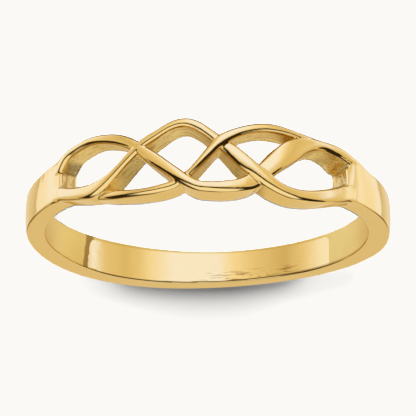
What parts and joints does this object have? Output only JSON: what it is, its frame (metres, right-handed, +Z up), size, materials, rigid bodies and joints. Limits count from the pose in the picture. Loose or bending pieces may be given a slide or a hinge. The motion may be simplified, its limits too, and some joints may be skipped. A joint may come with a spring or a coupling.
{
  "type": "knot ring",
  "caption": "Finger ring whose plain polished band opens into a pierced knot of three woven strands across the front, lying on its side.",
  "frame": {"origin": "centre of the part's box at the height of the surface the ring lies on", "axes": "+Z up off that surface and within about 4 degrees of the finger hole's axis; the knot faces -Y and the plain back of the band is at +Y; +X is to the right of someone facing the knot"},
  "size_m": [0.0196, 0.0202, 0.0042],
  "materials": {
    "gold": "polished yellow gold, satin inside the pierced openings"
  },
  "bodies": {
    "root": {"ring": "gold"}
  },
  "joints": []
}
